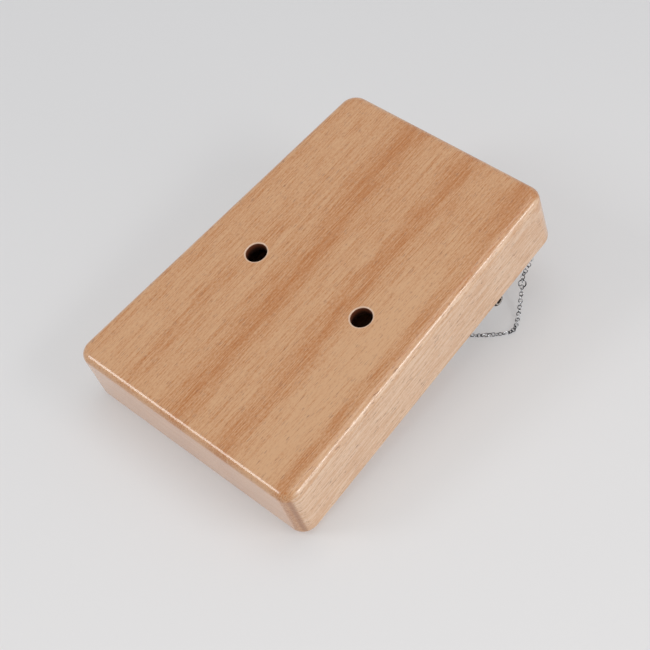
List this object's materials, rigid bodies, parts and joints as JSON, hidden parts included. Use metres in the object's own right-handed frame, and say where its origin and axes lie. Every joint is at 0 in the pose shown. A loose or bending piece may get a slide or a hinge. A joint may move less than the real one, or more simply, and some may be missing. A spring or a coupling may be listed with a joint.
{
  "type": "kalimba",
  "caption": "Hollow wooden box thumb piano, lying face down: carved box with two back holes, soundboard, bridge, sprung steel tines and a fine buzz chain.",
  "frame": {"origin": "centre of the box in plan, at the height of the lowest points, the tops of the dome nuts, which point down", "axes": "+Z out of the back, which lies up as in the picture; +Y from the near end, where the thumbs play, to the far end with the bridge; +X to the player's left"},
  "size_m": [0.1372, 0.185, 0.055],
  "materials": {
    "body_wood": "gloss lacquer over straight-grained tan mahogany",
    "soundboard_wood": "gloss lacquer over straight-grained tan mahogany",
    "brace_wood": "bare sanded spruce",
    "bridge_wood": "oiled dark hardwood",
    "plated_steel": "bright nickel plate",
    "tine_steel": "polished spring steel",
    "insert_brass": "turned",
    "chain_steel": "tumbled steel links"
  },
  "bodies": {
    "box": {"body_shell": "body_wood", "soundboard": "soundboard_wood", "near_brace": "brace_wood", "middle_brace": "brace_wood", "bridge_block": "brace_wood", "bridge_base": "bridge_wood", "saddle_rod": "plated_steel", "stop_rod": "plated_steel", "pressure_bar": "plated_steel", "bar_stud_1": "plated_steel", "bar_washer_1": "plated_steel", "dome_nut_1": "plated_steel", "block_insert_1": "insert_brass", "bar_stud_2": "plated_steel", "bar_washer_2": "plated_steel", "dome_nut_2": "plated_steel", "block_insert_2": "insert_brass", "bar_stud_3": "plated_steel", "bar_washer_3": "plated_steel", "dome_nut_3": "plated_steel", "block_insert_3": "insert_brass", "bar_stud_4": "plated_steel", "bar_washer_4": "plated_steel", "dome_nut_4": "plated_steel", "block_insert_4": "insert_brass", "screw_eye_right": "plated_steel", "screw_eye_left": "plated_steel", "buzz_chain": "chain_steel", "chain_ring": "chain_steel"},
    "tine_c4": {"tine_c4": "tine_steel"},
    "tine_d4": {"tine_d4": "tine_steel"},
    "tine_e4": {"tine_e4": "tine_steel"},
    "tine_f4": {"tine_f4": "tine_steel"},
    "tine_g4": {"tine_g4": "tine_steel"},
    "tine_a4": {"tine_a4": "tine_steel"},
    "tine_b4": {"tine_b4": "tine_steel"},
    "tine_c5": {"tine_c5": "tine_steel"},
    "tine_d5": {"tine_d5": "tine_steel"},
    "tine_e5": {"tine_e5": "tine_steel"},
    "tine_f5": {"tine_f5": "tine_steel"},
    "tine_g5": {"tine_g5": "tine_steel"},
    "tine_a5": {"tine_a5": "tine_steel"},
    "tine_b5": {"tine_b5": "tine_steel"},
    "tine_c6": {"tine_c6": "tine_steel"},
    "tine_d6": {"tine_d6": "tine_steel"},
    "tine_e6": {"tine_e6": "tine_steel"}
  },
  "joints": [
    {"name": "pluck_c4", "type": "hinge", "parent": "box", "child": "tine_c4", "pos_m": [0, 0.0455, 0.0162], "axis": [-1, 0, 0], "range_deg": [-0.8, 1.8], "stiffness_Nm_per_rad": 3.113},
    {"name": "pluck_d4", "type": "hinge", "parent": "box", "child": "tine_d4", "pos_m": [0.0064, 0.0455, 0.0162], "axis": [-1, 0, 0], "range_deg": [-0.8, 1.8], "stiffness_Nm_per_rad": 3.298},
    {"name": "pluck_e4", "type": "hinge", "parent": "box", "child": "tine_e4", "pos_m": [-0.0064, 0.0455, 0.0162], "axis": [-1, 0, 0], "range_deg": [-0.8, 1.8], "stiffness_Nm_per_rad": 3.494},
    {"name": "pluck_f4", "type": "hinge", "parent": "box", "child": "tine_f4", "pos_m": [0.0128, 0.0455, 0.0162], "axis": [-1, 0, 0], "range_deg": [-0.8, 1.8], "stiffness_Nm_per_rad": 3.596},
    {"name": "pluck_g4", "type": "hinge", "parent": "box", "child": "tine_g4", "pos_m": [-0.0128, 0.0455, 0.0162], "axis": [-1, 0, 0], "range_deg": [-0.8, 1.8], "stiffness_Nm_per_rad": 3.81},
    {"name": "pluck_a4", "type": "hinge", "parent": "box", "child": "tine_a4", "pos_m": [0.0192, 0.0455, 0.0162], "axis": [-1, 0, 0], "range_deg": [-0.8, 1.8], "stiffness_Nm_per_rad": 4.037},
    {"name": "pluck_b4", "type": "hinge", "parent": "box", "child": "tine_b4", "pos_m": [-0.0192, 0.0455, 0.0162], "axis": [-1, 0, 0], "range_deg": [-0.8, 1.8], "stiffness_Nm_per_rad": 4.277},
    {"name": "pluck_c5", "type": "hinge", "parent": "box", "child": "tine_c5", "pos_m": [0.0256, 0.0455, 0.0162], "axis": [-1, 0, 0], "range_deg": [-0.8, 1.8], "stiffness_Nm_per_rad": 4.402},
    {"name": "pluck_d5", "type": "hinge", "parent": "box", "child": "tine_d5", "pos_m": [-0.0256, 0.0455, 0.0162], "axis": [-1, 0, 0], "range_deg": [-0.8, 1.8], "stiffness_Nm_per_rad": 4.664},
    {"name": "pluck_e5", "type": "hinge", "parent": "box", "child": "tine_e5", "pos_m": [0.032, 0.0455, 0.0162], "axis": [-1, 0, 0], "range_deg": [-0.8, 1.8], "stiffness_Nm_per_rad": 4.941},
    {"name": "pluck_f5", "type": "hinge", "parent": "box", "child": "tine_f5", "pos_m": [-0.032, 0.0455, 0.0162], "axis": [-1, 0, 0], "range_deg": [-0.8, 1.8], "stiffness_Nm_per_rad": 5.086},
    {"name": "pluck_g5", "type": "hinge", "parent": "box", "child": "tine_g5", "pos_m": [0.0384, 0.0455, 0.0162], "axis": [-1, 0, 0], "range_deg": [-0.8, 1.8], "stiffness_Nm_per_rad": 5.389},
    {"name": "pluck_a5", "type": "hinge", "parent": "box", "child": "tine_a5", "pos_m": [-0.0384, 0.0455, 0.0162], "axis": [-1, 0, 0], "range_deg": [-0.8, 1.8], "stiffness_Nm_per_rad": 5.709},
    {"name": "pluck_b5", "type": "hinge", "parent": "box", "child": "tine_b5", "pos_m": [0.0448, 0.0455, 0.0162], "axis": [-1, 0, 0], "range_deg": [-0.8, 1.8], "stiffness_Nm_per_rad": 6.048},
    {"name": "pluck_c6", "type": "hinge", "parent": "box", "child": "tine_c6", "pos_m": [-0.0448, 0.0455, 0.0162], "axis": [-1, 0, 0], "range_deg": [-0.8, 1.8], "stiffness_Nm_per_rad": 6.226},
    {"name": "pluck_d6", "type": "hinge", "parent": "box", "child": "tine_d6", "pos_m": [0.0512, 0.0455, 0.0162], "axis": [-1, 0, 0], "range_deg": [-0.8, 1.8], "stiffness_Nm_per_rad": 6.596},
    {"name": "pluck_e6", "type": "hinge", "parent": "box", "child": "tine_e6", "pos_m": [-0.0512, 0.0455, 0.0162], "axis": [-1, 0, 0], "range_deg": [-0.8, 1.8], "stiffness_Nm_per_rad": 6.988}
  ]
}
